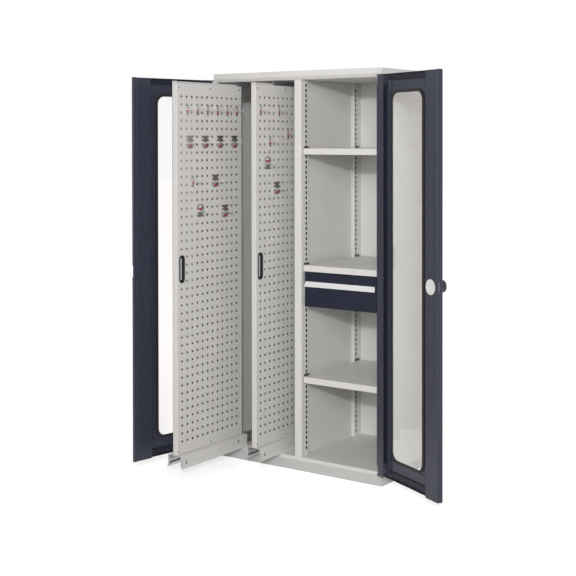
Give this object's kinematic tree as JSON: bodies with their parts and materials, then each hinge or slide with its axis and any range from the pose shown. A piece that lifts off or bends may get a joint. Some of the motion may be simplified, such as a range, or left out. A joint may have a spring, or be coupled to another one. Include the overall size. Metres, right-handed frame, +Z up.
{
  "type": "tool cabinet",
  "caption": "Steel tool cabinet with two glazed hinged doors, pull-out perforated tool panels on telescopic guides, shelves and a drawer.",
  "frame": {"origin": "on the ground, in the middle of the carcass's width and depth", "axes": "+X to the right as seen from the front, +Y to the back, +Z up"},
  "size_m": [1.5415, 1.0735, 1.95],
  "materials": {
    "carcass_grey": "satin light grey powder coat",
    "door_blue": "satin dark blue-grey powder coat",
    "panel_grey": "satin light grey powder coat",
    "zinc_steel": "zinc plated",
    "aluminium_rail": "drawn, anodised",
    "black_rubber": "matt",
    "clear_sheet": "clear",
    "black_plastic": "fine grain",
    "grey_plastic": "fine grain",
    "red_plastic": "moulded",
    "white_handle": "anodised, satin"
  },
  "bodies": {
    "cabinet": {"side_left": "carcass_grey", "side_right": "carcass_grey", "lid": "carcass_grey", "ceiling_pan": "carcass_grey", "floor_pan": "carcass_grey", "back_panel": "carcass_grey", "plinth": "carcass_grey", "divider_front_post": "carcass_grey", "divider_rear_post": "carcass_grey", "divider_panel": "carcass_grey", "right_uprights": "carcass_grey", "shelf_upper": "carcass_grey", "shelf_middle": "carcass_grey", "shelf_lower": "carcass_grey", "shelf_clips": "zinc_steel", "drawer_cabinet_rails": "zinc_steel", "floor_slide_rails": "zinc_steel", "ceiling_slide_rails": "zinc_steel", "hinge_brackets": "zinc_steel", "hinge_pins": "zinc_steel"},
    "left_door": {"left_door_shell": "door_blue", "left_door_gasket": "black_rubber", "left_door_pane": "clear_sheet", "left_door_inner_frame": "door_blue", "left_door_lock_stile": "door_blue", "left_door_meeting_strip": "door_blue", "left_door_hinge_leaves": "zinc_steel"},
    "right_door": {"right_door_shell": "door_blue", "right_door_gasket": "black_rubber", "right_door_pane": "clear_sheet", "right_door_inner_frame": "door_blue", "right_door_lock_stile": "door_blue", "right_door_hinge_leaves": "zinc_steel", "lock_cover": "grey_plastic"},
    "lock_knob": {"lock_knob": "black_plastic"},
    "lock_bolt": {"lock_bolt": "zinc_steel"},
    "panel_1": {"panel_1_right_sheet": "panel_grey", "panel_1_left_sheet": "panel_grey", "panel_1_housing": "panel_grey", "panel_1_slides": "zinc_steel", "panel_1_grip": "black_plastic", "panel_1_hook_carriers": "black_plastic", "panel_1_hook_locks": "red_plastic", "panel_1_hook_prongs": "zinc_steel"},
    "panel_1_middle_rails": {"panel_1_mid_slides": "aluminium_rail"},
    "panel_2": {"panel_2_right_sheet": "panel_grey", "panel_2_left_sheet": "panel_grey", "panel_2_housing": "panel_grey", "panel_2_slides": "zinc_steel", "panel_2_grip": "black_plastic", "panel_2_hook_carriers": "black_plastic", "panel_2_hook_locks": "red_plastic", "panel_2_hook_prongs": "zinc_steel"},
    "panel_2_middle_rails": {"panel_2_mid_slides": "aluminium_rail"},
    "drawer": {"drawer_box": "carcass_grey", "drawer_front": "door_blue", "drawer_handle": "white_handle", "drawer_slides": "zinc_steel"},
    "drawer_middle_rails": {"drawer_mid_slides": "zinc_steel"}
  },
  "joints": [
    {"name": "left_door_hinge", "type": "hinge", "parent": "cabinet", "child": "left_door", "pos_m": [-0.493, -0.3, 0.98], "axis": [0, 0, -1], "range_deg": [-20, 62]},
    {"name": "right_door_hinge", "type": "hinge", "parent": "cabinet", "child": "right_door", "pos_m": [0.493, -0.3, 0.98], "axis": [0, 0, 1], "range_deg": [-153.4, 11]},
    {"name": "knob_turn", "type": "hinge", "parent": "right_door", "child": "lock_knob", "pos_m": [0.88707, -0.48006, 0.981], "axis": [0.4468, 0.8946, 0], "range_deg": [0, 90]},
    {"name": "bolt_slide", "type": "slide", "parent": "right_door", "child": "lock_bolt", "axis": [0.8946, -0.4468, 0], "range_m": [0, 0.0181]},
    {"name": "panel_1_pull", "type": "slide", "parent": "cabinet", "child": "panel_1", "axis": [0, -1, 0], "range_m": [-0.49, 0]},
    {"name": "panel_1_rails", "type": "slide", "parent": "cabinet", "child": "panel_1_middle_rails", "axis": [0, -1, 0], "range_m": [-0.2451, 0]},
    {"name": "panel_2_pull", "type": "slide", "parent": "cabinet", "child": "panel_2", "axis": [0, -1, 0], "range_m": [-0.171, 0.319]},
    {"name": "panel_2_rails", "type": "slide", "parent": "cabinet", "child": "panel_2_middle_rails", "axis": [0, -1, 0], "range_m": [-0.0856, 0.1596]},
    {"name": "drawer_pull", "type": "slide", "parent": "cabinet", "child": "drawer", "axis": [0, -1, 0], "range_m": [0, 0.4]},
    {"name": "drawer_rails", "type": "slide", "parent": "cabinet", "child": "drawer_middle_rails", "axis": [0, -1, 0], "range_m": [0, 0.2001]}
  ],
  "couplings": [
    {"joint": "bolt_slide", "follows": "knob_turn", "m_per_rad": 0.011459},
    {"joint": "panel_1_rails", "follows": "panel_1_pull", "ratio": 0.5},
    {"joint": "panel_2_rails", "follows": "panel_2_pull", "ratio": 0.5},
    {"joint": "drawer_rails", "follows": "drawer_pull", "ratio": 0.5}
  ]
}
